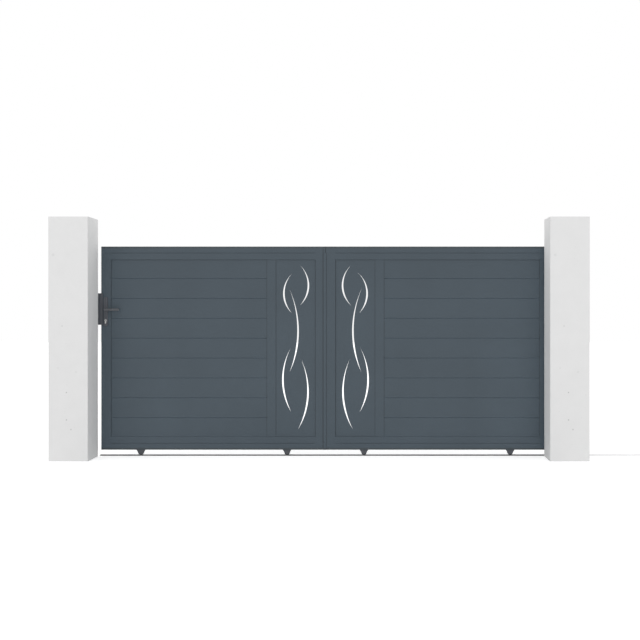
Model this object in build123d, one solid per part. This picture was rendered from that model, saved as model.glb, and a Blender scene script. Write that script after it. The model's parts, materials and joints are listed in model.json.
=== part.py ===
from build123d import *
import math
import os

# Sliding driveway gate between two square pillars, in millimetres.
# X runs along the gate, to the right as seen from the street. Y points away from the street and Z up.
# The origin lies on the underside of the ground rail, on the passage's centre line.

# Pillars and passage
passage_width = 3500
pillar_side = 300
pillar_height = 1855
pillar_edge = 3
pillar_to_leaf = 30

# Leaf: two halves, mirrored about the leaf's middle and joined there
leaf_depth = 48
leaf_bottom = 47
leaf_height = 1600
leaf_end_gap = 17
leaf_behind_pillar = 47
joint_gap = 3
stile_width = 76
wall = 2.5
cap_thickness = 3
tail_width = 120

# Rails: a plain tube outside and a grooved channel on the infill's side
tube_height = 49
channel_height = 53
rail_line_width = 4.5
rail_line_depth = 3

# Infill: boards with tongue and groove, a post between, and the sheet with the crescent cuts
infill_thickness = 34
infill_groove = 12
groove_play = 0.3
muntin_place = 391
muntin_width = 70
muntin_proud = 3
board_target = 156
board_insert = 7
board_end_insert = 10
board_wall = 1.5
board_play = 0.5
board_bevel = 2.5
tongue_width = 8
tongue_height = 9
sheet_thickness = 4
sheet_insert = 10

# The frame behind each sheet, which lies in the same grooves and shows a narrow edge
bead_insert = 9
bead_reveal = 3

# Cover strips over the joint between the halves
cover_width = 24
cover_thickness = 3
cover_left = 18

# Seals along the infill's upright edges, between the halves and under the cover strips
seal_width = 1.5
seal_proud = 2
joint_seal_recess = 2
cover_seal = 1
cover_seal_lip = 1.5

# Wheels: a tread roller turned with its two journals, and a flange disc on each side of the tread
tread_radius = 18.5
tread_to_bar = 1
flange_radius = 22
flange_thickness = 5
flange_edge = 1
inner_wheel_place = 303
outer_wheel_from_end = 309
journal_radius = 5
journal_play = 0.05
journal_past_cheek = 3

# Wheel carriers: two tapered cheeks under a top plate, inside the bottom tube
carrier_half_top = 34
carrier_half_foot = 21
carrier_foot = 13.5
carrier_foot_round = 11
carrier_taper_end = 25
carrier_plate = 4
carrier_top_plate = 6
carrier_to_wheel = 1.5
carrier_play = 2

# Ground rail: a flat base with a running bar on it, in two lengths, on the same foundation as the pillars
rail_base_width = 50
rail_base = 3
bar_width = 10
bar_height = 5
bar_edge = 1.5
rail_start_gap = 5
rail_joint_behind_pillar = 150
rail_joint_gap = 0.5
rail_run_out = 90
wheel_on_rail = 0.3
rail_hole_radius = 3.5
rail_hole_side = 18
rail_hole_first = 145
rail_hole_pitch = 600

# Travel and its stop
travel = 3300
stop_clearance = 6
stop_length = 30
stop_width = 40
stop_below_leaf = 6
stop_on_bar = 0.3
buffer_thickness = 10

# Guide with two pairs of rollers, on the right pillar's back face
guide_place = 100
guide_roller_radius = 12
guide_roller_height = 34
guide_roller_pitch = 50
guide_play = 0.5
guide_pin_radius = 4
guide_pin_play = 0.05
guide_pin_head = 2
guide_pin_slack = 0.3
guide_above_leaf = 12
guide_plate = 6
guide_width = 110
guide_leg_height = 110
guide_below_top = 4

# Lock: backset from the leaf's end, plates, levers and cylinder
lock_backset = 36
lever_height = 1150
cylinder_below_lever = 92
escutcheon_width = 34
escutcheon_length = 232
escutcheon_below_lever = 15
escutcheon_thickness = 8
escutcheon_edge = 2
spindle_side = 8
spindle_hole_radius = 7
lever_neck_radius = 9
lever_neck = 14
lever_length = 112
lever_thickness = 19
lever_depth = 12
lever_edge = 4
lever_off_plate = 0.3
cylinder_round = 8.5
cylinder_bar = 10
cylinder_total = 33
cylinder_proud = 3
cylinder_play = 0.3

# Keeper on the left pillar, into which the leaf's end runs
keeper_below_lever = 119
keeper_height = 248
keeper_plate = 4
keeper_clearance = 5
keeper_over_leaf = 14
keeper_leg = 80
hook_slot_width = 24
hook_slot_height = 70

# Crescent cuts in the sheet, as shares of its visible width and height.
# Each has its lower tip, its upper tip, and a point halfway between the two on its centre line.
# All have the same greatest width, which lies below the middle, so that the upper end is the finer one.
crescent_width = 12.5
crescent_skew = 1.3
crescent_steps = 8
crescents = [
    ((0.399, 0.741), (0.407, 0.970), (0.182, 0.853)),
    ((0.598, 0.698), (0.557, 0.928), (0.798, 0.816)),
    ((0.653, 0.365), (0.681, 0.845), (0.443, 0.615)),
    ((0.608, 0.137), (0.614, 0.507), (0.824, 0.320)),
    ((0.441, 0.042), (0.377, 0.443), (0.192, 0.258)),
]

# Worked out from the sizes above
left_face = -passage_width / 2
right_face = passage_width / 2
leaf_left = left_face + leaf_end_gap
leaf_right = right_face + leaf_behind_pillar
leaf_half = (leaf_right - leaf_left) / 2
leaf_middle = (leaf_left + leaf_right) / 2
leaf_front = -leaf_depth / 2
leaf_back = leaf_depth / 2
leaf_top = leaf_bottom + leaf_height
infill_bottom = leaf_bottom + tube_height + channel_height
infill_top = leaf_top - tube_height - channel_height
groove_width = infill_thickness + 2 * groove_play
channel_groove = board_insert + tongue_height + board_play
pillar_back = leaf_front - pillar_to_leaf
pillar_front = pillar_back - pillar_side
tread_width = bar_width + 2 * tread_to_bar
wheel_width = tread_width + 2 * flange_thickness
carrier_gap = wheel_width + 2 * carrier_to_wheel
carrier_width = carrier_gap + 2 * carrier_plate
rail_height = rail_base + bar_height
axle_z = rail_height + wheel_on_rail + tread_radius
tube_ceiling = leaf_bottom + tube_height - wall
outer_wheel_place = leaf_half - outer_wheel_from_end
wheel_places = [-outer_wheel_place, -inner_wheel_place, inner_wheel_place, outer_wheel_place]
rail_start = left_face + rail_start_gap
rail_joint = right_face + rail_joint_behind_pillar
stop_face = leaf_middle + outer_wheel_place + travel + carrier_half_top + stop_clearance
rail_end = stop_face + buffer_thickness + rail_run_out
lock_x = leaf_left + lock_backset
cylinder_height = lever_height - cylinder_below_lever
escutcheon_middle = lever_height - escutcheon_below_lever
keeper_bottom = lever_height - keeper_below_lever


def block(x0, x1, y0, y1, z0, z1):
    """A box from its low and high coordinates."""
    return Pos((x0 + x1) / 2, (y0 + y1) / 2, (z0 + z1) / 2) * Box(x1 - x0, y1 - y0, z1 - z0)


def half(part, side):
    """A piece modelled on the right of the leaf's middle, moved to its half of the leaf."""
    placed = part if side == "right" else mirror(part, about=Plane.YZ)
    return Pos(leaf_middle, 0, 0) * placed


def pillar(inner_face, side):
    """One pillar, a single square mass with slightly broken upright edges."""
    x = inner_face + side * pillar_side / 2
    y = (pillar_front + pillar_back) / 2
    outline = chamfer(Rectangle(pillar_side, pillar_side).vertices(), pillar_edge)
    return Pos(x, y, 0) * extrude(outline, pillar_height)


def stile(start, groove_at):
    """An upright hollow profile from start to start + stile_width, with the infill's groove on one side."""
    middle = start + stile_width / 2
    shell = Rectangle(stile_width, leaf_depth)
    groove_x = groove_at * (stile_width - infill_groove) / 2
    groove = Pos(groove_x, 0) * Rectangle(infill_groove, groove_width)
    chamber_width = stile_width - infill_groove - 2 * wall
    chamber_x = -groove_at * (stile_width / 2 - wall - chamber_width / 2)
    chamber = Pos(chamber_x, 0) * Rectangle(chamber_width, leaf_depth - 2 * wall)
    length = leaf_height - 2 * cap_thickness
    return Pos(middle, 0, leaf_bottom + cap_thickness) * extrude(shell - groove - chamber, length)


def lock_holes():
    """What is cut through the stile for the lever's spindle and the cylinder."""
    spindle = Pos(lock_x, 0, lever_height) * Rot(90, 0, 0) * Cylinder(spindle_hole_radius, 2 * leaf_depth)
    return [spindle, cylinder_body(2 * leaf_depth, cylinder_play)]


def cylinder_body(length, play):
    """The cylinder's outline, a round over a rounded bar, as a prism across the leaf."""
    round_part = Circle(cylinder_round + play)
    drop = cylinder_total - cylinder_round - cylinder_bar / 2
    bar = Pos(0, -drop / 2) * Rectangle(cylinder_bar + 2 * play, drop)
    foot = Pos(0, -drop) * Circle(cylinder_bar / 2 + play)
    outline = round_part + bar + foot
    rise = cylinder_total / 2 - cylinder_round
    prism = extrude(Plane.XZ * outline, length / 2, both=True)
    return Pos(lock_x, 0, cylinder_height + rise) * prism


def cap(start, width):
    """The top and bottom covers of one upright profile."""
    cover = fillet(Rectangle(width, leaf_depth).vertices(), 1)
    plate = Pos(start + width / 2, 0, 0) * extrude(cover, cap_thickness)
    return [Pos(0, 0, leaf_bottom) * plate, Pos(0, 0, leaf_top - cap_thickness) * plate]


def rail_span():
    """Where the rails start and end between the two stiles of the right half."""
    return joint_gap / 2 + stile_width, leaf_half - stile_width


def tube(z):
    """A rail's outer tube, with its underside at z."""
    start, end = rail_span()
    section = Rectangle(leaf_depth, tube_height) - Rectangle(leaf_depth - 2 * wall, tube_height - 2 * wall)
    return Pos(start, 0, z + tube_height / 2) * extrude(Plane.YZ * section, end - start)


def channel(z, opens):
    """A rail's inner channel: a closed chamber, and the groove that holds the infill."""
    start, end = rail_span()
    groove = Pos(0, opens * (channel_height - channel_groove) / 2) * Rectangle(groove_width, channel_groove)
    line_wall = rail_line_width + wall
    chamber_height = channel_height - channel_groove - wall - line_wall
    chamber_z = -opens * (channel_height / 2 - line_wall - chamber_height / 2)
    chamber = Pos(0, chamber_z) * Rectangle(leaf_depth - 2 * wall, chamber_height)
    line_z = -opens * (channel_height - rail_line_width) / 2
    shift = (leaf_depth - rail_line_depth) / 2
    section = Rectangle(leaf_depth, channel_height) - groove - chamber
    for side in (-1, 1):
        section -= Pos(side * shift, line_z) * Rectangle(rail_line_depth, rail_line_width)
    return Pos(start, 0, z + channel_height / 2) * extrude(Plane.YZ * section, end - start)


def muntin():
    """The post between the boards and the sheet, grooved on both sides."""
    depth = infill_thickness + 2 * muntin_proud
    section = Rectangle(muntin_width, depth)
    for side in (-1, 1):
        x = side * (muntin_width - infill_groove) / 2
        section -= Pos(x, 0) * Rectangle(infill_groove, groove_width)
    section -= Rectangle(muntin_width - 2 * infill_groove - 2 * wall, depth - 2 * wall)
    middle = muntin_place + muntin_width / 2
    return Pos(middle, 0, infill_bottom) * extrude(section, infill_top - infill_bottom)


def board_section(height):
    """One board's profile: two chambers, a tongue above, a groove below, and bevelled edges at the joints."""
    body = Rectangle(infill_thickness, height)
    body = chamfer(body.vertices(), board_bevel)
    middle_wall = board_wall
    chamber_foot = -height / 2 + tongue_height + 2 * board_wall
    chamber_head = height / 2 - board_wall
    chamber_height = (chamber_head - chamber_foot - middle_wall) / 2
    for place in (chamber_foot + chamber_height / 2, chamber_head - chamber_height / 2):
        body -= Pos(0, place) * Rectangle(infill_thickness - 2 * board_wall, chamber_height)
    groove_height = tongue_height + board_play
    groove = Rectangle(tongue_width + 2 * board_play, groove_height)
    body -= Pos(0, (groove_height - height) / 2) * groove
    tongue = Pos(0, (height + tongue_height) / 2 - board_play) * Rectangle(tongue_width, tongue_height)
    return body + tongue


def boards():
    """The boards of the right half, from the muntin's groove to the outer stile's."""
    stack = infill_top - infill_bottom + 2 * board_insert
    count = round(stack / board_target)
    pitch = stack / count
    start = muntin_place + muntin_width - board_end_insert
    end = leaf_half - stile_width + board_end_insert
    one = extrude(Plane.YZ * board_section(pitch - board_play), end - start)
    first = infill_bottom - board_insert + pitch / 2
    return [Pos(start, 0, first + i * pitch) * one for i in range(count)]


def crescent(low, high, middle):
    """One cut's outline. Its width rises and falls as a sine along an arc, and is widest below the middle."""
    arc = ThreePointArc(high, middle, low)
    left = []
    right = []
    for i in range(1, crescent_steps):
        along = i / crescent_steps
        reach = crescent_width / 2 * math.sin(math.pi * along**crescent_skew)
        point = arc @ along
        left.append((point.X - reach, point.Y))
        right.append((point.X + reach, point.Y))
    return make_face(Spline(high, *left, low) + Spline(low, *reversed(right), high))


def sheet():
    """The flat sheet with its crescent cuts, behind the front lips of the grooves."""
    x0 = joint_gap / 2 + stile_width
    x1 = muntin_place
    z0 = infill_bottom
    z1 = infill_top

    def place(u, v):
        return (x0 + u * (x1 - x0), z0 + v * (z1 - z0))

    width = x1 - x0 + 2 * sheet_insert
    height = z1 - z0 + 2 * sheet_insert
    outline = Pos((x0 + x1) / 2, (z0 + z1) / 2) * Rectangle(width, height)
    for low, high, middle in crescents:
        outline -= crescent(place(*low), place(*high), place(*middle))
    front = -infill_thickness / 2
    return Pos(0, front + sheet_thickness, 0) * extrude(Plane.XZ * outline, sheet_thickness)


def sheet_bead():
    """The frame that fills the grooves behind the sheet and holds it forward, on the right half."""
    x0 = joint_gap / 2 + stile_width
    width = muntin_place - x0
    height = infill_top - infill_bottom
    ring = Rectangle(width + 2 * bead_insert, height + 2 * bead_insert)
    ring -= Rectangle(width - 2 * bead_reveal, height - 2 * bead_reveal)
    ring = Pos((x0 + muntin_place) / 2, (infill_bottom + infill_top) / 2) * ring
    back = infill_thickness / 2
    return Pos(0, back, 0) * extrude(Plane.XZ * ring, infill_thickness - sheet_thickness)


def infill_seals():
    """The strips along the upright edges of the sheet's front and of the boards' two faces, on the right half."""
    places = [
        (joint_gap / 2 + stile_width, 1, [-1]),
        (muntin_place, -1, [-1]),
        (muntin_place + muntin_width, 1, [-1, 1]),
        (leaf_half - stile_width, -1, [-1, 1]),
    ]
    strips = []
    for edge, inward, sides in places:
        x0, x1 = sorted((edge, edge + inward * seal_width))
        for side in sides:
            face = side * infill_thickness / 2
            y0, y1 = sorted((face, face + side * seal_proud))
            strips.append(block(x0, x1, y0, y1, infill_bottom, infill_top))
    return strips


def over_joint(lip, inner, outer):
    """A strip on each side of the leaf over the joint, from inner to outer off the leaf's face."""
    top = leaf_top - tube_height
    x0 = leaf_middle - cover_left - lip
    x1 = leaf_middle - cover_left + cover_width + lip
    front = block(x0, x1, leaf_front - outer, leaf_front - inner, leaf_bottom, top)
    back = block(x0, x1, leaf_back + inner, leaf_back + outer, leaf_bottom, top)
    return [front, back]


def cover_strips():
    """The strips over the joint of the halves. They stop below the top tubes, where the guide rollers run."""
    return over_joint(0, cover_seal, cover_seal + cover_thickness)


def joint_seals():
    """The strips under the joint's covers, and the packer between the two halves over their whole height."""
    x0 = leaf_middle - joint_gap / 2
    y0 = leaf_front + joint_seal_recess
    packer = block(x0, x0 + joint_gap, y0, -y0, leaf_bottom, leaf_top)
    return [packer] + over_joint(cover_seal_lip, 0, cover_seal)


def carrier_cheeks():
    """The two cheeks of a wheel carrier, at x = 0, with the holes in which the wheel's journals turn."""
    top = tube_ceiling - carrier_top_plate
    points = [
        (-carrier_half_top, top),
        (-carrier_half_top, leaf_bottom),
        (-carrier_half_foot, carrier_taper_end),
        (-carrier_half_foot, carrier_foot),
        (carrier_half_foot, carrier_foot),
        (carrier_half_foot, carrier_taper_end),
        (carrier_half_top, leaf_bottom),
        (carrier_half_top, top),
    ]
    outline = make_face(Polyline(points, close=True))
    feet = outline.vertices().sort_by(Axis.Y)[:2]
    outline = fillet(feet, carrier_foot_round)
    outline -= Pos(0, axle_z) * Circle(journal_radius + journal_play)
    plate = extrude(Plane.XZ * outline, carrier_plate)
    return [Pos(0, y, 0) * plate for y in (-carrier_gap / 2, carrier_gap / 2 + carrier_plate)]


def carrier_plate_above():
    """The plate that joins a carrier's cheeks and lies under the bottom tube's ceiling, at x = 0."""
    low = tube_ceiling - carrier_top_plate
    depth = carrier_width / 2
    return block(-carrier_half_top, carrier_half_top, -depth, depth, low, tube_ceiling)


def wheel():
    """A tread roller with a journal on each side, as one turned piece, at x = 0."""
    tread = tread_width / 2
    end = carrier_width / 2 + journal_past_cheek
    points = [
        (0, -end),
        (journal_radius, -end),
        (journal_radius, -tread),
        (tread_radius, -tread),
        (tread_radius, tread),
        (journal_radius, tread),
        (journal_radius, end),
        (0, end),
    ]
    section = make_face(Polyline(points, close=True))
    return Pos(0, 0, axle_z) * revolve(section, Axis.Y)


def wheel_flanges():
    """The two discs on a wheel's journals, beside its tread and on both sides of the rail's bar, at x = 0."""
    disc = Cylinder(flange_radius, flange_thickness)
    disc = chamfer(disc.edges().filter_by(GeomType.CIRCLE), flange_edge)
    disc -= Cylinder(journal_radius + journal_play, 2 * flange_thickness)
    disc = Rot(90, 0, 0) * disc
    y = (tread_width + flange_thickness) / 2
    return [Pos(0, side * y, axle_z) * disc for side in (-1, 1)]


def rail_base_strip(start, end, first_hole):
    """A length of the rail's flat base, with pairs of screw holes beside the bar."""
    strip = block(start, end, -rail_base_width / 2, rail_base_width / 2, 0, rail_base)
    count = int((end - rail_hole_side - first_hole) / rail_hole_pitch) + 1
    for i in range(count):
        for side in (-1, 1):
            hole = Cylinder(rail_hole_radius, 4 * rail_base)
            strip -= Pos(first_hole + i * rail_hole_pitch, side * rail_hole_side, 0) * hole
    return strip


def rail_bar(start, end):
    """A length of the running bar, with its upper edges rounded."""
    outline = Rectangle(bar_width, bar_height)
    outline = fillet(outline.vertices().sort_by(Axis.Y)[-2:], bar_edge)
    return Pos(start, 0, rail_base + bar_height / 2) * extrude(Plane.YZ * outline, end - start)


def end_stop():
    """The block across the rail at the end of the travel."""
    x0 = stop_face + buffer_thickness
    top = leaf_bottom - stop_below_leaf
    stop = block(x0, x0 + stop_length, -stop_width / 2, stop_width / 2, rail_base, top)
    slot = bar_width / 2 + stop_on_bar
    stop -= block(x0, x0 + stop_length, -slot, slot, rail_base, rail_height + stop_on_bar)
    return stop


def stop_buffer():
    """The pad on the stop's face, above the rail's bar."""
    top = leaf_bottom - stop_below_leaf
    low = rail_height + stop_on_bar
    return block(stop_face, stop_face + buffer_thickness, -stop_width / 2, stop_width / 2, low, top)


def keeper():
    """The bent plate that takes the leaf's end: a leg on the pillar, a web with the hook's slot, two flanges."""
    z0 = keeper_bottom
    z1 = keeper_bottom + keeper_height
    flange_in = leaf_depth / 2 + keeper_clearance
    flange_out = flange_in + keeper_plate
    web = left_face + keeper_plate
    tip = leaf_left + keeper_over_leaf
    plate = block(left_face - keeper_leg, web, pillar_back, pillar_back + keeper_plate, z0, z1)
    plate += block(left_face, web, pillar_back, flange_out, z0, z1)
    for side in (-1, 1):
        near, far = sorted((side * flange_in, side * flange_out))
        plate += block(left_face, tip, near, far, z0, z1)
    slot_x0 = left_face - keeper_plate
    slot_z = (lever_height + cylinder_height) / 2
    plate -= block(
        slot_x0,
        web + keeper_plate,
        -hook_slot_width / 2,
        hook_slot_width / 2,
        slot_z - hook_slot_height / 2,
        slot_z + hook_slot_height / 2,
    )
    return plate


def guide_y():
    """How far the guide rollers' pins stand from the leaf's middle plane."""
    return leaf_back + guide_play + guide_roller_radius


def guide_pin_places():
    """Where the four guide pins stand, as (x, y)."""
    x = right_face + guide_place
    return [(x + i * guide_roller_pitch / 2, j * guide_y()) for i in (-1, 1) for j in (-1, 1)]


def guide_bracket():
    """The angle that carries the guide rollers over the leaf's top edge."""
    x = right_face + guide_place
    z0 = leaf_top + guide_above_leaf
    reach = guide_y() + guide_roller_radius
    arm = block(x - guide_width / 2, x + guide_width / 2, pillar_back, reach, z0, z0 + guide_plate)
    leg = block(
        x - guide_width / 2,
        x + guide_width / 2,
        pillar_back,
        pillar_back + guide_plate,
        z0,
        z0 + guide_leg_height,
    )
    bracket = arm + leg
    for px, py in guide_pin_places():
        bracket -= Pos(px, py, z0) * Cylinder(guide_pin_radius + guide_pin_play, 4 * guide_plate)
    return bracket


def guide_rollers():
    """The rollers on both sides of the leaf's top tube."""
    top = leaf_top - guide_below_top
    roller = Cylinder(guide_roller_radius, guide_roller_height)
    roller -= Cylinder(guide_pin_radius + guide_pin_play, 2 * guide_roller_height)
    return [Pos(x, y, top - guide_roller_height / 2) * roller for x, y in guide_pin_places()]


def guide_pins():
    """The rollers' pins, with a head below each roller and one on the bracket."""
    head_radius = guide_pin_radius + guide_pin_head
    low = leaf_top - guide_below_top - guide_roller_height - guide_pin_slack
    high = leaf_top + guide_above_leaf + guide_plate + guide_pin_slack
    pin = Pos(0, 0, (low + high) / 2) * Cylinder(guide_pin_radius, high - low)
    pin += Pos(0, 0, low - guide_pin_head / 2) * Cylinder(head_radius, guide_pin_head)
    pin += Pos(0, 0, high + guide_pin_head / 2) * Cylinder(head_radius, guide_pin_head)
    return [Pos(x, y, 0) * pin for x, y in guide_pin_places()]


def escutcheons():
    """The two lock plates with rounded ends, on the front and the back of the leaf's left stile."""
    outline = SlotOverall(escutcheon_length, escutcheon_width, rotation=90)
    plate = extrude(Plane.XZ * outline, escutcheon_thickness)
    plate = Pos(lock_x, 0, escutcheon_middle) * fillet(plate.faces().sort_by(Axis.Y)[0].edges(), escutcheon_edge)
    plate = Pos(0, leaf_front, 0) * plate
    for hole in lock_holes():
        plate -= hole
    return [plate, mirror(plate, about=Plane.XZ)]


def lever(side):
    """A lever handle: the neck on the spindle and the rounded grip, pointing away from the leaf's end."""
    face = leaf_front - escutcheon_thickness - lever_off_plate
    neck = Pos(0, face - lever_neck / 2, 0) * Rot(90, 0, 0) * Cylinder(lever_neck_radius, lever_neck)
    overall = lever_length + lever_thickness / 2
    outline = Pos(overall / 2 - lever_thickness / 2, 0) * SlotOverall(overall, lever_thickness)
    grip = extrude(Plane.XZ * outline, lever_depth)
    grip = fillet(grip.faces().sort_by(Axis.Y)[0].edges(), lever_edge)
    handle = neck + Pos(0, face - lever_neck, 0) * grip
    handle = Pos(lock_x, 0, lever_height) * handle
    return handle if side == "front" else mirror(handle, about=Plane.XZ)


def spindle():
    """The square bar through the leaf, from one lever's neck to the other's."""
    length = leaf_depth + 2 * escutcheon_thickness + 2 * lever_off_plate
    return Pos(lock_x, 0, lever_height) * Box(spindle_side, length, spindle_side)


def carrier_slots(side):
    """The openings in a bottom tube's underside, where the carriers come through."""
    places = [inner_wheel_place, outer_wheel_place]
    reach = carrier_half_top + carrier_play
    depth = carrier_width / 2 + carrier_play
    cuts = [block(x - reach, x + reach, -depth, depth, leaf_bottom - wall, leaf_bottom + 2 * wall) for x in places]
    return [half(cut, side) for cut in cuts]


def build():
    """Every node of the gate, as name and solids."""
    nodes = {}
    nodes["left_pillar"] = pillar(left_face, -1)
    nodes["right_pillar"] = pillar(right_face, 1)
    runback_start = rail_joint + rail_joint_gap
    nodes["rail_bases"] = [
        rail_base_strip(rail_start, rail_joint, rail_start + rail_hole_first),
        rail_base_strip(runback_start, rail_end, rail_joint + rail_hole_first),
    ]
    nodes["rail_bars"] = [rail_bar(rail_start, rail_joint), rail_bar(runback_start, rail_end)]
    nodes["end_stop"] = end_stop()
    nodes["stop_buffer"] = stop_buffer()
    nodes["lock_keeper"] = keeper()
    nodes["guide_bracket"] = guide_bracket()
    nodes["guide_rollers"] = guide_rollers()
    nodes["guide_pins"] = guide_pins()

    sides = ("left", "right")
    for side in sides:
        outer = half(stile(leaf_half - stile_width, -1), side)
        for hole in lock_holes() if side == "left" else []:
            outer -= hole
        bottom_tube = half(tube(leaf_bottom), side)
        for cut in carrier_slots(side):
            bottom_tube -= cut
        nodes[side + "_outer_stile"] = outer
        nodes[side + "_centre_stile"] = half(stile(joint_gap / 2, 1), side)
        nodes[side + "_top_tube"] = half(tube(leaf_top - tube_height), side)
        nodes[side + "_top_channel"] = half(channel(infill_top, -1), side)
        nodes[side + "_bottom_tube"] = bottom_tube
        nodes[side + "_bottom_channel"] = half(channel(leaf_bottom + tube_height, 1), side)
        nodes[side + "_muntin"] = half(muntin(), side)
        nodes[side + "_cut_sheet"] = half(sheet(), side)
        nodes[side + "_boards"] = [half(board, side) for board in boards()]
    nodes["sheet_beads"] = [half(sheet_bead(), side) for side in sides]
    nodes["infill_seals"] = [half(strip, side) for side in sides for strip in infill_seals()]
    nodes["joint_seals"] = joint_seals()

    tail = Rectangle(tail_width, leaf_depth) - Rectangle(tail_width - 2 * wall, leaf_depth - 2 * wall)
    tail_x = leaf_middle + leaf_half + tail_width / 2
    tail_z = leaf_bottom + cap_thickness
    nodes["guide_tail"] = Pos(tail_x, 0, tail_z) * extrude(tail, leaf_height - 2 * cap_thickness)

    caps = []
    for start in (leaf_half - stile_width, joint_gap / 2):
        for side in sides:
            caps += [half(one, side) for one in cap(start, stile_width)]
    nodes["stile_caps"] = caps
    nodes["tail_caps"] = [half(one, "right") for one in cap(leaf_half, tail_width)]
    nodes["joint_covers"] = cover_strips()

    spots = [Pos(leaf_middle + x, 0, 0) for x in wheel_places]
    nodes["carrier_cheeks"] = [spot * cheek for spot in spots for cheek in carrier_cheeks()]
    nodes["carrier_plates"] = [spot * carrier_plate_above() for spot in spots]
    for number, spot in enumerate(spots, start=1):
        nodes["wheel_" + str(number)] = spot * wheel()
        nodes["wheel_" + str(number) + "_flanges"] = [spot * disc for disc in wheel_flanges()]

    nodes["escutcheons"] = escutcheons()
    nodes["lever_front"] = lever("front")
    nodes["lever_back"] = lever("back")
    nodes["lever_spindle"] = spindle()
    cylinder_length = leaf_depth + 2 * escutcheon_thickness + 2 * cylinder_proud
    nodes["lock_cylinder"] = cylinder_body(cylinder_length, 0)
    return nodes


os.makedirs("parts", exist_ok=True)
for name, shape in build().items():
    solids = shape if isinstance(shape, list) else [shape]
    pieces = [solid for item in solids for solid in item.solids()]
    export_step(pieces[0] if len(pieces) == 1 else Compound(children=pieces), "parts/" + name + ".step")
    print(name, len(pieces), round(sum(piece.volume for piece in pieces)))
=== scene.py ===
import json
import math

import bmesh
import bpy
from mathutils import Matrix, Vector

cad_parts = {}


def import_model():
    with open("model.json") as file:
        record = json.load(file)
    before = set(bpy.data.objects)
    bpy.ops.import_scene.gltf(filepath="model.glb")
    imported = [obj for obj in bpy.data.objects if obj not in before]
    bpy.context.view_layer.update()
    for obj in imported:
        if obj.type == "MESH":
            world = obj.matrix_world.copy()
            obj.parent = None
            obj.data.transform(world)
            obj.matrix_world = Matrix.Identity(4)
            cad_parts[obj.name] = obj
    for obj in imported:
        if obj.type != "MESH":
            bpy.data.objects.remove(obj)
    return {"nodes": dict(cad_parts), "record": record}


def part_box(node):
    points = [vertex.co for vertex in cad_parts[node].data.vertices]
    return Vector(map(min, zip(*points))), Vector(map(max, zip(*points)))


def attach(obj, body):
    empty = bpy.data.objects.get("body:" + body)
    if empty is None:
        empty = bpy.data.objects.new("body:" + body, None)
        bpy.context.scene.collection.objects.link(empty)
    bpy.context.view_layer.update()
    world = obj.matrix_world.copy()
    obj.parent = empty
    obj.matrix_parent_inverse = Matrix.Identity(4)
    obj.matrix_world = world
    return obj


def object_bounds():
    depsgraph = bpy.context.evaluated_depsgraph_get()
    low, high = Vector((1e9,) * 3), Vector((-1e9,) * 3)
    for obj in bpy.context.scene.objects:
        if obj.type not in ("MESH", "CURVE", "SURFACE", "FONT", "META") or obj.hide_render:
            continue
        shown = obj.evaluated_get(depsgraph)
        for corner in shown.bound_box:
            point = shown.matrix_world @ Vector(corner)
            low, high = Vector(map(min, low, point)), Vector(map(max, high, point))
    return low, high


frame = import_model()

cad_low, cad_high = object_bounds()

# A sliding driveway gate between two pillars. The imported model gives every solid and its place. This script
# gives each one its material, adds the small fasteners, and sets the floor, the light and the camera.
# Lengths are in metres, in the model's own frame, and angles in degrees.

# The camera's place, worked out from the pillars in the photograph, its lens and sensor in millimetres, and
# the photograph's side and vanishing point in pixels
CAMERA_X = 0.4617
CAMERA_HEIGHT = 1.1474
CAMERA_TO_PILLARS = 8.208
LENS = 61.0
SENSOR = 36.0
PHOTO_SIDE = 640
VANISHING_POINT = (380, 310)

# Light and surroundings
WORLD_STRENGTH = 1.0
KEY_STRENGTH = 0.26
KEY_ANGLE = 70
KEY_FROM = (-0.6, -1.0, 0.55)
FLOOR_SIDE = 60
FLOOR_TONE = 0.98
FLOOR_GLOW = 0.38

# Colours as the photograph shows them
CONCRETE_GREY = (0.730, 0.730, 0.730)
ANTHRACITE = (0.052, 0.0722, 0.0902)
FITTING_GREY = (0.075, 0.081, 0.094)
CAP_GREY = (0.040, 0.046, 0.055)
RAIL_GREY = (0.032, 0.032, 0.034)
BAR_GREY = (0.52, 0.52, 0.53)
ZINC_GREY = (0.80, 0.80, 0.80)
WHEEL_GREY = (0.075, 0.08, 0.088)
PIN_GREY = (0.30, 0.30, 0.31)
LEVER_GREY = (0.082, 0.088, 0.098)
CHROME_TONE = (0.75, 0.75, 0.73)
NEARLY_BLACK = (0.022, 0.022, 0.024)

# Marks on both pillars' faces: from the pillar's middle, height, radius, and how dark. A mark is darkest in
# its core and fades out to its rim, both as shares of its radius.
PILLAR_MIDDLE = 1.9
PILLAR_MARKS = [
    (-0.0117, 0.5227, 0.0045, 0.62),
    (-0.0117, 0.315, 0.0050, 0.66),
    (0.0222, 0.2429, 0.0052, 0.72),
    (-0.045, 1.026, 0.0060, 0.86),
    (-0.113, 1.564, 0.0100, 0.92),
    (0.061, 0.678, 0.0080, 0.93),
    (-0.075, 0.708, 0.0080, 0.95),
]
MARK_CORE = 0.4
MARK_RIM = 1.6

# Pinholes in the pillars: how many to a metre, their tone, and how far from a pinhole's middle that starts to
# fade and where it ends, as shares of their spacing
PINHOLES_PER_METRE = 22
PINHOLE_TONE = (0.8, 0.8, 0.8)
PINHOLE_CORE = 0.03
PINHOLE_RIM = 0.08

# The leaf's roughness, and how far a powder coat's roughness goes either way with its grain
LEAF_ROUGHNESS = 0.5
COAT_ROUGHNESS_PLAY = 0.06

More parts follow.
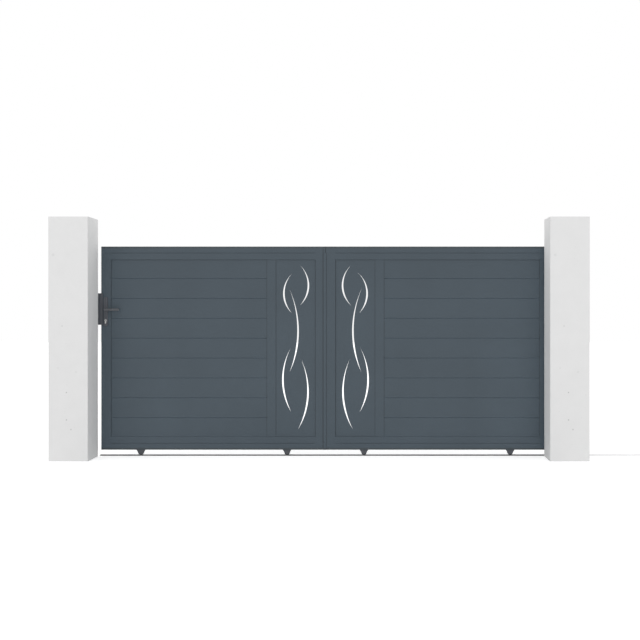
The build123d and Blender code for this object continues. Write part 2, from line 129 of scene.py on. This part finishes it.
# The leaf's tone over its face, which is painted light and shade: painted light towards both ends and the
# foot, where the pillars and the ground shade the leaf, darker towards the top, painted shade along the top
# and bottom edges, and a painted shadow line along the left edge of the cover strips
LEAF_LEFT_LIFT = 1.12
LEAF_RIGHT_LIFT = 1.22
LEAF_LIFT_START = 0.65
LEAF_FOOT_LIFT = 1.045
LEAF_TOP_FADE = 0.935
LEAF_EDGE_SHADE_TONE = (0.84, 0.78, 0.73)
LEAF_EDGE = 0.012
LEAF_EDGE_BLUR = 0.002
COVER_SHADOW_TONE = 0.55
COVER_SHADOW_CORE = 0.0018
COVER_SHADOW_RIM = 0.0036

# Painted light in the joints between the boards and along their foot, lifting the shade that falls there. The
# boards are equal shares of one stack, each with its play, and the topmost board's tongue reaches past the
# stack's end.
BOARDS = 9
BOARD_PLAY = 0.0005
BOARD_TONGUE = 0.009
JOINT_LIGHT_LIFT = 1.25
JOINT_LIGHT_CORE = 0.0027
JOINT_LIGHT_RIM = 0.0035
FOOT_LIGHT_LIFT = 1.14
FOOT_LIGHT_CORE = 0.008
FOOT_LIGHT_RIM = 0.010

# Where the rail's base ends and its running bar begins, and where its paint ends behind the right pillar
RAIL_BASE = 0.003
BAR_BLUR = 0.0005
PAINT_END = 1.9
PAINT_BLUR = 0.004

# The drawn grain runs along the rail
RAIL_GRAIN = (0.05, 1, 1)

# Anchors in the pillars' backs: a hexagon head on a washer, through the keeper's and the guide's legs.
# Their places are shares of the leg's width and height.
BOLT = {"across_flats": 0.013, "height": 0.007, "washer": 0.012, "washer_height": 0.002}
KEEPER_LEG = 0.004
KEEPER_BOLT_HEIGHTS = (0.14, 0.86)
GUIDE_LEG = 0.006
GUIDE_BOLT_PLACES = (0.2, 0.8)
GUIDE_BOLT_HEIGHTS = (0.38, 0.8)

# The rail's screws: the first hole and the number of holes along each length, their pitch, and both rows
RAIL_SCREW = {"radius": 0.0055, "height": 0.0026, "socket": 0.004}
RAIL_HOLES = ((-1.6, 6), (2.045, 5))
RAIL_HOLE_PITCH = 0.6
RAIL_HOLE_ROWS = (-0.018, 0.018)

# Screws in the lock plates and along the cover strips
PLATE_SCREW = {"radius": 0.0045, "height": 0.0012, "socket": 0.0025}
PLATE_SCREW_END = 0.018
COVER_SCREW = {"radius": 0.004, "height": 0.001, "socket": 0.002}
COVER_SCREW_PLACE = 0.008
COVER_SCREW_END = 0.06
COVER_SCREWS = 6

# A washer with a snap ring on it, from (radius, height) rings, and its gap to the carrier's cheek
CLIP_PROFILE = [
    (0.0088, 0),
    (0.0088, 0.0009),
    (0.0085, 0.0011),
    (0.0066, 0.0011),
    (0.0066, 0.0019),
    (0.0064, 0.0021),
]
CLIP_GAP = 0.0002

# The turning plug in the lock cylinder: how far its middle lies under the cylinder's top, its rings of
# (radius, height), and its keyway's rings of (width, height, level)
PLUG_UNDER_TOP = 0.0085
PLUG_PROFILE = [(0.0058, 0), (0.0058, 0.0003), (0.0055, 0.0005)]
KEYWAY_PROFILE = [(0.0016, 0.0075, 0.0005), (0.0015, 0.0074, 0.0001)]

# Screw heads and bolt heads: broken edges as a share of the radius, the taper and the floor of a screw's
# socket, and the height and the radius at which a bolt head's corners are turned off
SCREW_EDGE = 0.12
SOCKET_TAPER = 0.98
SOCKET_FLOOR = 0.35
WASHER_EDGE = 0.04
HEAD_CORNERS = 0.85
HEAD_TOP = 0.44

# Corners on each turned form, and the least value that a ring's radius is divided by
SEGMENTS = 24
NEARLY_ZERO = 1e-6

# The way out of the front and of the back, along Y
FRONT_AND_BACK = (-1, 1)


# Nodes

def feed(tree, socket, value):
    """Gives a socket another node's output, or a plain value."""
    if isinstance(value, bpy.types.NodeSocket):
        tree.links.new(value, socket)
    else:
        socket.default_value = value


def node(tree, kind, inputs=None, **settings):
    """A node with plain settings on it, and its inputs fed by name or number."""
    made = tree.nodes.new(kind)
    for key, value in settings.items():
        setattr(made, key, value)
    for key, value in (inputs or {}).items():
        feed(tree, made.inputs[key], value)
    return made


def coordinates(tree):
    """The piece's own coordinates, which are the shared frame's."""
    return node(tree, "ShaderNodeTexCoord").outputs["Object"]


def separate(tree, where):
    """A place's X, Y and Z."""
    return node(tree, "ShaderNodeSeparateXYZ", {"Vector": where}).outputs


def stretched(tree, where, scale):
    """Coordinates scaled along X, Y and Z."""
    return node(tree, "ShaderNodeMapping", {"Vector": where, "Scale": scale}).outputs["Vector"]


def noise(tree, where, scale, detail, roughness=0.55):
    """A soft pattern from 0 to 1."""
    inputs = {"Vector": where, "Scale": scale, "Detail": detail, "Roughness": roughness}
    return node(tree, "ShaderNodeTexNoise", inputs).outputs["Fac"]


def calculate(tree, operation, a, b=0):
    """One step of arithmetic on outputs or plain numbers."""
    return node(tree, "ShaderNodeMath", {0: a, 1: b}, operation=operation).outputs[0]


def map_range(tree, value, start, end, low, high, interpolation="LINEAR"):
    """A value carried from one span to another, and held at its ends."""
    inputs = {"Value": value, "From Min": start, "From Max": end, "To Min": low, "To Max": high}
    return node(tree, "ShaderNodeMapRange", inputs, interpolation_type=interpolation).outputs["Result"]


def blend(tree, first, second, factor):
    """One colour turning into another as the factor goes from 0 to 1."""
    inputs = {"Factor": factor, "A": first, "B": second}
    return node(tree, "ShaderNodeMix", inputs, data_type="RGBA").outputs["Result"]


def multiply(tree, colour, by, factor=1.0):
    """A colour darkened by a pattern."""
    inputs = {"Factor": factor, "A": colour, "B": by}
    return node(tree, "ShaderNodeMix", inputs, data_type="RGBA", blend_type="MULTIPLY").outputs["Result"]


def bump(tree, height, strength, distance, below=None):
    """A relief from a pattern, on top of another one if that is given."""
    inputs = {"Height": height, "Strength": strength, "Distance": distance}
    if below is not None:
        inputs["Normal"] = below
    return node(tree, "ShaderNodeBump", inputs).outputs["Normal"]


def rgba(colour):
    return (*colour, 1)


def shade(colour, factor):
    return tuple(channel * factor for channel in colour)


def ramp(tree, value, first, last):
    """A colour ramp between two (place, colour) stops."""
    made = node(tree, "ShaderNodeValToRGB", {"Fac": value})
    for element, (place, colour) in zip(made.color_ramp.elements, (first, last)):
        element.position = place
        element.color = rgba(colour)
    return made.outputs["Color"]


def two_tone(tree, value, colour, dark, light, start):
    """A colour between two of its own shades, as a pattern rises from start to 1 - start."""
    return ramp(tree, value, (start, shade(colour, dark)), (1 - start, shade(colour, light)))


# Materials

def material(name, roughness, metallic=0.0, specular=0.5):
    """A new material, its node tree and its main shader."""
    made = bpy.data.materials.new(name)
    made.use_nodes = True
    shader = made.node_tree.nodes["Principled BSDF"]
    shader.inputs["Roughness"].default_value = roughness
    shader.inputs["Metallic"].default_value = metallic
    shader.inputs["Specular IOR Level"].default_value = specular
    return made, made.node_tree, shader


def coat(name, colour, roughness, grain=900.0, pattern=None):
    """A powder coat: a fine sandy grain, and a faint change of tone over the surface."""
    made, tree, shader = material(name, roughness, specular=0.4)
    where = coordinates(tree)
    clouds = noise(tree, where, scale=2.2, detail=3)
    tone = two_tone(tree, clouds, colour, dark=0.95, light=1.05, start=0.3)
    if pattern is not None:
        tone = multiply(tree, tone, pattern(tree, where))
    fine = noise(tree, where, grain, detail=2)
    feed(tree, shader.inputs["Base Color"], tone)
    feed(tree, shader.inputs["Normal"], bump(tree, fine, strength=0.35, distance=0.00012))
    smooth, rough = roughness - COAT_ROUGHNESS_PLAY, roughness + COAT_ROUGHNESS_PLAY
    feed(tree, shader.inputs["Roughness"], map_range(tree, fine, 0, 1, smooth, rough))
    return made


def metal(name, colour, roughness, grain=300.0, metallic=1.0, wear=0.12):
    """Bare or zinc-coated steel, with blotches."""
    made, tree, shader = material(name, roughness, metallic=metallic)
    blotch = noise(tree, coordinates(tree), grain, detail=5)
    tone = two_tone(tree, blotch, colour, dark=1 - wear, light=1 + wear, start=0.35)
    feed(tree, shader.inputs["Base Color"], tone)
    feed(tree, shader.inputs["Normal"], bump(tree, blotch, strength=0.2, distance=0.0003))
    return made


def plastic(name, colour, roughness):
    """Moulded plastic or rubber with a fine grain."""
    made, tree, shader = material(name, roughness, specular=0.35)
    fine = noise(tree, coordinates(tree), scale=700, detail=3)
    feed(tree, shader.inputs["Base Color"], two_tone(tree, fine, colour, dark=0.9, light=1.1, start=0.3))
    feed(tree, shader.inputs["Normal"], bump(tree, fine, strength=0.3, distance=0.0002))
    return made


def pillar_marks(tree, where):
    """A grey pattern, white but for the marks, which lie alike on both pillars."""
    parts = separate(tree, where)
    pillar = calculate(tree, "MULTIPLY", calculate(tree, "SIGN", parts["X"]), PILLAR_MIDDLE)
    across = calculate(tree, "SUBTRACT", parts["X"], pillar)
    pattern = None
    for x, z, radius, tone in PILLAR_MARKS:
        dx = calculate(tree, "SUBTRACT", across, x)
        dz = calculate(tree, "SUBTRACT", parts["Z"], z)
        square_x = calculate(tree, "MULTIPLY", dx, dx)
        square_z = calculate(tree, "MULTIPLY", dz, dz)
        far = calculate(tree, "SQRT", calculate(tree, "ADD", square_x, square_z))
        mark = map_range(tree, far, radius * MARK_CORE, radius * MARK_RIM, tone, 1.0, "SMOOTHSTEP")
        pattern = mark if pattern is None else calculate(tree, "MULTIPLY", pattern, mark)
    return pattern


def concrete(name):
    """Pale smooth concrete: soft clouds, a fine sand grain, small pinholes and a few larger marks."""
    made, tree, shader = material(name, roughness=0.85, specular=0.2)
    where = coordinates(tree)
    clouds = noise(tree, where, scale=9.0, detail=6, roughness=0.6)
    tone = two_tone(tree, clouds, CONCRETE_GREY, dark=0.985, light=1.01, start=0.3)
    spacing = {"Vector": where, "Scale": PINHOLES_PER_METRE}
    cells = node(tree, "ShaderNodeTexVoronoi", spacing, feature="F1", distance="EUCLIDEAN")
    pinholes = ramp(tree, cells.outputs["Distance"], (PINHOLE_CORE, PINHOLE_TONE), (PINHOLE_RIM, (1, 1, 1)))
    marks = pillar_marks(tree, where)
    tone = multiply(tree, multiply(tree, tone, pinholes, factor=0.5), marks)
    sand = noise(tree, where, scale=420, detail=4)
    relief = bump(tree, sand, strength=0.2, distance=0.0005)
    relief = bump(tree, clouds, strength=0.1, distance=0.003, below=relief)
    relief = bump(tree, marks, strength=0.5, distance=0.004, below=relief)
    relief = bump(tree, pinholes, strength=0.5, distance=0.002, below=relief)
    feed(tree, shader.inputs["Base Color"], tone)
    feed(tree, shader.inputs["Normal"], relief)
    return made


def leaf_tone(tree, where):
    """A pattern for the leaf's coat, from the leaf's own size: painted light towards the ends and the foot,
    painted shade along the top and bottom edges, and a painted shadow line along the cover strips' left edge.
    """
    low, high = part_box("left_outer_stile")
    left, foot, top = low.x, low.z, high.z
    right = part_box("right_outer_stile")[1].x
    middle = (left + right) / 2
    reach = (right - left) / 2 * LEAF_LIFT_START
    parts = separate(tree, where)

    # Painted light: lighter towards both ends and the foot and darker towards the top, against the shade of
    # the pillars and the ground
    to_left = map_range(tree, parts["X"], middle - reach, left, 1.0, LEAF_LEFT_LIFT)
    to_right = map_range(tree, parts["X"], middle + reach, right, 1.0, LEAF_RIGHT_LIFT)
    to_top = map_range(tree, parts["Z"], foot, top, LEAF_FOOT_LIFT, LEAF_TOP_FADE)
    lift = calculate(tree, "MULTIPLY", calculate(tree, "MULTIPLY", to_left, to_right), to_top)

    # Painted shadow: a dark line along the left edge of the cover strips
    cover_shadow = calculate(tree, "SUBTRACT", parts["X"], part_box("joint_covers")[0].x)
    cover_shadow = calculate(tree, "ABSOLUTE", cover_shadow)
    cover_shadow = map_range(tree, cover_shadow, COVER_SHADOW_CORE, COVER_SHADOW_RIM, COVER_SHADOW_TONE, 1.0)
    lift = calculate(tree, "MULTIPLY", lift, cover_shadow)

    # Painted shade: the coat is darker along the leaf's top and bottom edges
    under_top, over_foot = top - LEAF_EDGE, foot + LEAF_EDGE
    upper = map_range(tree, parts["Z"], under_top - LEAF_EDGE_BLUR, under_top + LEAF_EDGE_BLUR, 0.0, 1.0)
    lower = map_range(tree, parts["Z"], over_foot + LEAF_EDGE_BLUR, over_foot - LEAF_EDGE_BLUR, 0.0, 1.0)
    edge = calculate(tree, "MAXIMUM", upper, lower)
    return blend(tree, lift, rgba(LEAF_EDGE_SHADE_TONE), edge)


def board_tone(tree, where):
    """The leaf's pattern, with painted light in the boards' joints and along their foot, lifting the shade
    that falls there.
    """
    low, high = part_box("left_boards")
    start = low.z - BOARD_PLAY / 2
    end = high.z - (BOARD_TONGUE - BOARD_PLAY) + BOARD_PLAY / 2
    pitch = (end - start) / BOARDS
    height = calculate(tree, "SUBTRACT", separate(tree, where)["Z"], start)
    # Painted light: lighter in each joint between the boards and just above their foot, where shade falls
    off_joint = calculate(tree, "PINGPONG", height, pitch / 2)
    joint_light = map_range(tree, off_joint, JOINT_LIGHT_CORE, JOINT_LIGHT_RIM, JOINT_LIGHT_LIFT, 1.0)
    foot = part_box("left_bottom_channel")[1].z - start
    foot_light = map_range(tree, height, foot + FOOT_LIGHT_CORE, foot + FOOT_LIGHT_RIM, FOOT_LIGHT_LIFT, 1.0)
    return multiply(tree, leaf_tone(tree, where), calculate(tree, "MULTIPLY", joint_light, foot_light))


def rail_finish(name, dark, rubbed, bare):
    """The ground rail: a dark base and a rubbed bar between the pillars, bare zinc behind the right one."""
    made, tree, shader = material(name, roughness=0.7, specular=0.1)
    where = coordinates(tree)
    drawn = noise(tree, stretched(tree, where, RAIL_GRAIN), scale=300, detail=5)
    spangle = noise(tree, where, scale=60, detail=3)
    base = two_tone(tree, drawn, dark, dark=0.88, light=1.12, start=0.35)
    bar = two_tone(tree, drawn, rubbed, dark=0.9, light=1.1, start=0.35)
    zinc = two_tone(tree, spangle, bare, dark=0.97, light=1.03, start=0.35)
    parts = separate(tree, where)
    on_bar = map_range(tree, parts["Z"], RAIL_BASE, RAIL_BASE + BAR_BLUR, 0.0, 1.0)
    behind = map_range(tree, parts["X"], PAINT_END - PAINT_BLUR, PAINT_END + PAINT_BLUR, 0.0, 1.0)
    feed(tree, shader.inputs["Base Color"], blend(tree, blend(tree, base, bar, on_bar), zinc, behind))
    feed(tree, shader.inputs["Normal"], bump(tree, drawn, strength=0.2, distance=0.0003))
    return made


def floor_material():
    """White ground that keeps the shadow. It glows for the camera and for reflections only."""
    made, tree, shader = material("studio_floor", roughness=0.95, specular=0.0)
    shader.inputs["Base Color"].default_value = rgba((FLOOR_TONE, FLOOR_TONE, FLOOR_TONE))
    path = node(tree, "ShaderNodeLightPath").outputs
    seen = calculate(tree, "MAXIMUM", path["Is Camera Ray"], path["Is Glossy Ray"])
    seen = calculate(tree, "MAXIMUM", seen, path["Is Transmission Ray"])
    glow = node(tree, "ShaderNodeEmission", {"Strength": calculate(tree, "MULTIPLY", seen, FLOOR_GLOW)})
    both = node(tree, "ShaderNodeAddShader", {0: shader.outputs["BSDF"], 1: glow.outputs["Emission"]})
    feed(tree, tree.nodes["Material Output"].inputs["Surface"], both.outputs["Shader"])
    return made


# Forms

def circle(radius):
    """A ring's radius at any angle, for a round ring."""
    return lambda angle: radius


def hexagon(across_flats):
    """A ring's radius at any angle, for a hexagon."""
    sixth = math.pi / 3
    return lambda angle: across_flats / 2 / math.cos(angle % sixth - sixth / 2)


def slot_shape(width, height):
    """A ring's radius at any angle, for a narrow upright slot."""
    def reach(angle):
        across = max(abs(math.cos(angle)), NEARLY_ZERO)
        along = max(abs(math.sin(angle)), NEARLY_ZERO)
        return min(width / 2 / across, height / 2 / along)
    return reach


def turned(form, rings, place):
    """Adds a closed form to a mesh from rings of (radius function, height), first to last."""
    rows = []
    for radius, height in rings:
        row = []
        for i in range(SEGMENTS):
            angle = 2 * math.pi * i / SEGMENTS
            reach = radius(angle)
            point = Vector((reach * math.cos(angle), reach * math.sin(angle), height))
            row.append(form.verts.new(place @ point))
        rows.append(row)
    for lower, upper in zip(rows, rows[1:]):
        for i in range(SEGMENTS):
            j = (i + 1) % SEGMENTS
            form.faces.new((lower[i], lower[j], upper[j], upper[i]))
    form.faces.new(list(reversed(rows[0])))
    form.faces.new(rows[-1])


def screw_rings(radius, height, socket):
    """A low round head with broken edges and a hexagon socket."""
    edge = radius * SCREW_EDGE
    return [
        (circle(radius), 0),
        (circle(radius), height - edge),
        (circle(radius - edge), height),
        (hexagon(socket), height),
        (hexagon(socket * SOCKET_TAPER), height * SOCKET_FLOOR),
    ]


def bolt_rings(across_flats, height, washer, washer_height):
    """A hexagon head on a washer."""
    edge = washer * WASHER_EDGE
    return [
        (circle(washer), 0),
        (circle(washer), washer_height - edge),
        (circle(washer - edge), washer_height),
        (hexagon(across_flats), washer_height),
        (hexagon(across_flats), washer_height + height * HEAD_CORNERS),
        (circle(across_flats * HEAD_TOP), washer_height + height),
    ]


def facing(direction, point):
    """The placing that turns a form's own Z to a direction, at a point."""
    turn = Vector(direction).to_track_quat("Z", "Y").to_matrix().to_4x4()
    return Matrix.Translation(Vector(point)) @ turn


def both_faces(node_name):
    """The front and the back face of a node: the way out of it, and its level."""
    low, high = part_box(node_name)
    return zip(FRONT_AND_BACK, (low.y, high.y))


# Fasteners

def keeper_bolts(form):
    """The anchors through the keeper's leg, on the left pillar's back."""
    low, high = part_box("lock_keeper")
    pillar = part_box("left_pillar")[1]
    x = (low.x + pillar.x) / 2
    for share in KEEPER_BOLT_HEIGHTS:
        z = low.z + share * (high.z - low.z)
        turned(form, bolt_rings(**BOLT), facing((0, 1, 0), (x, pillar.y + KEEPER_LEG, z)))


def guide_bolts(form):
    """The anchors through the guide bracket's leg, on the right pillar's back."""
    low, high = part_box("guide_bracket")
    for x_share in GUIDE_BOLT_PLACES:
        for z_share in GUIDE_BOLT_HEIGHTS:
            x = low.x + x_share * (high.x - low.x)
            z = low.z + z_share * (high.z - low.z)
            turned(form, bolt_rings(**BOLT), facing((0, 1, 0), (x, low.y + GUIDE_LEG, z)))


def rail_screws(form):
    """A low screw in each hole of the rail's base, on both lengths."""
    for first, count in RAIL_HOLES:
        for i in range(count):
            for y in RAIL_HOLE_ROWS:
                point = (first + i * RAIL_HOLE_PITCH, y, RAIL_BASE)
                turned(form, screw_rings(**RAIL_SCREW), facing((0, 0, 1), point))


def journal_clips(form, wheel):
    """A washer and a snap ring on each end of one wheel's journals, outside the cheeks."""
    low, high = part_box(wheel)
    middle = (low + high) / 2
    half_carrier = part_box("carrier_plates")[1].y
    rings = [(circle(radius), height) for radius, height in CLIP_PROFILE]
    for out in FRONT_AND_BACK:
        point = (middle.x, out * (half_carrier + CLIP_GAP), middle.z)
        turned(form, rings, facing((0, out, 0), point))


def plate_screws(form):
    """Two small screws in each lock plate."""
    low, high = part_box("escutcheons")
    x = (low.x + high.x) / 2
    for out, face in both_faces("escutcheons"):
        for z in (low.z + PLATE_SCREW_END, high.z - PLATE_SCREW_END):
            turned(form, screw_rings(**PLATE_SCREW), facing((0, out, 0), (x, face, z)))


def cover_screws(form):
    """Screws along both cover strips, into the stiles behind them."""
    low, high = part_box("joint_covers")
    x = low.x + COVER_SCREW_PLACE
    span = high.z - low.z - 2 * COVER_SCREW_END
    for out, face in both_faces("joint_covers"):
        for i in range(COVER_SCREWS):
            z = low.z + COVER_SCREW_END + i * span / (COVER_SCREWS - 1)
            turned(form, screw_rings(**COVER_SCREW), facing((0, out, 0), (x, face, z)))


def key_plugs(form):
    """The turning plug in each face of the lock cylinder, with its keyway."""
    low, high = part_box("lock_cylinder")
    rings = [(circle(radius), height) for radius, height in PLUG_PROFILE]
    rings += [(slot_shape(width, height), level) for width, height, level in KEYWAY_PROFILE]
    x, z = (low.x + high.x) / 2, high.z - PLUG_UNDER_TOP
    for out, face in both_faces("lock_cylinder"):
        turned(form, rings, facing((0, out, 0), (x, face, z)))


def piece(name, body, slot, build):
    """A new piece from a function that fills its mesh. It rides on a body and takes a slot's finish."""
    form = bmesh.new()
    build(form)
    bmesh.ops.recalc_face_normals(form, faces=form.faces)
    mesh = bpy.data.meshes.new(name)
    form.to_mesh(mesh)
    form.free()
    shown = bpy.data.objects.new(name, mesh)
    bpy.context.scene.collection.objects.link(shown)
    mesh.materials.append(finishes[slot])
    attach(shown, body)


# Surroundings

def floor():
    """A flat ground at the model's foot."""
    mesh = bpy.data.meshes.new("studio_floor")
    form = bmesh.new()
    bmesh.ops.create_grid(form, x_segments=1, y_segments=1, size=FLOOR_SIDE / 2)
    form.to_mesh(mesh)
    form.free()
    made = bpy.data.objects.new("studio_floor", mesh)
    made.location.z = cad_low.z
    bpy.context.scene.collection.objects.link(made)
    mesh.materials.append(floor_material())


def world():
    """A plain white light from all round, which is also what the camera sees behind the gate."""
    made = bpy.data.worlds.new("studio")
    bpy.context.scene.world = made
    made.use_nodes = True
    back = made.node_tree.nodes["Background"]
    back.inputs["Color"].default_value = (1, 1, 1, 1)
    back.inputs["Strength"].default_value = WORLD_STRENGTH


def key_light():
    """One broad soft lamp, from the left and the street's side."""
    lamp = bpy.data.lights.new("key", "SUN")
    lamp.energy = KEY_STRENGTH
    lamp.angle = math.radians(KEY_ANGLE)
    made = bpy.data.objects.new("key", lamp)
    made.rotation_mode = "QUATERNION"
    made.rotation_quaternion = Vector(KEY_FROM).to_track_quat("Z", "Y")
    bpy.context.scene.collection.objects.link(made)


def camera():
    """The photograph's view: level, square to the gate, and shifted to its vanishing point."""
    lens = bpy.data.cameras.new("camera")
    lens.lens = LENS
    lens.sensor_width = SENSOR
    lens.shift_x = (PHOTO_SIDE / 2 - VANISHING_POINT[0]) / PHOTO_SIDE
    lens.shift_y = (VANISHING_POINT[1] - PHOTO_SIDE / 2) / PHOTO_SIDE
    made = bpy.data.objects.new("camera", lens)
    made.location = (CAMERA_X, cad_low.y - CAMERA_TO_PILLARS, CAMERA_HEIGHT)
    made.rotation_euler = (math.radians(90), 0, 0)
    bpy.context.scene.collection.objects.link(made)
    bpy.context.scene.camera = made


# The whole scene

# One finish for each of the record's material slots
finishes = {
    "concrete": concrete("pale_concrete"),
    "leaf_coat": coat("anthracite_coat", ANTHRACITE, LEAF_ROUGHNESS, pattern=leaf_tone),
    "fitting_coat": coat("fitting_coat", FITTING_GREY, roughness=0.48),
    "rail_steel": rail_finish("rail_steel", RAIL_GREY, BAR_GREY, ZINC_GREY),
    "wheel_steel": metal("wheel_steel", WHEEL_GREY, roughness=0.45, metallic=0.2),
    "pin_steel": metal("pin_steel", PIN_GREY, roughness=0.35),
    "cap_plastic": plastic("cap_plastic", CAP_GREY, roughness=0.55),
    "buffer_rubber": plastic("buffer_rubber", NEARLY_BLACK, roughness=0.8),
    "roller_nylon": plastic("roller_nylon", NEARLY_BLACK, roughness=0.5),
    "lever_metal": coat("lever_coat", LEVER_GREY, roughness=0.38, grain=1500),
    "cylinder_chrome": metal("cylinder_chrome", CHROME_TONE, roughness=0.22, grain=900, wear=0.05),
}

# The boards have the leaf's coat with painted light in their joints and along their foot
board_coat = coat("board_coat", ANTHRACITE, LEAF_ROUGHNESS, pattern=board_tone)
own_finishes = {"left_boards": board_coat, "right_boards": board_coat}

for part in frame["record"]["subparts"]:
    mesh = frame["nodes"][part["node"]].data
    mesh.materials.clear()
    mesh.materials.append(own_finishes.get(part["node"], finishes[part["material_slot"]]))

piece("keeper_bolts", "posts", "pin_steel", keeper_bolts)
piece("guide_bolts", "posts", "pin_steel", guide_bolts)
piece("rail_screws", "posts", "pin_steel", rail_screws)
for wheel in ("wheel_1", "wheel_2", "wheel_3", "wheel_4"):
    piece(wheel + "_clips", wheel, "wheel_steel", lambda form, wheel=wheel: journal_clips(form, wheel))
piece("plate_screws", "leaf", "fitting_coat", plate_screws)
piece("cover_screws", "leaf", "leaf_coat", cover_screws)
piece("key_plugs", "leaf", "pin_steel", key_plugs)

bpy.context.scene.view_settings.view_transform = "Standard"
floor()
world()
key_light()
camera()
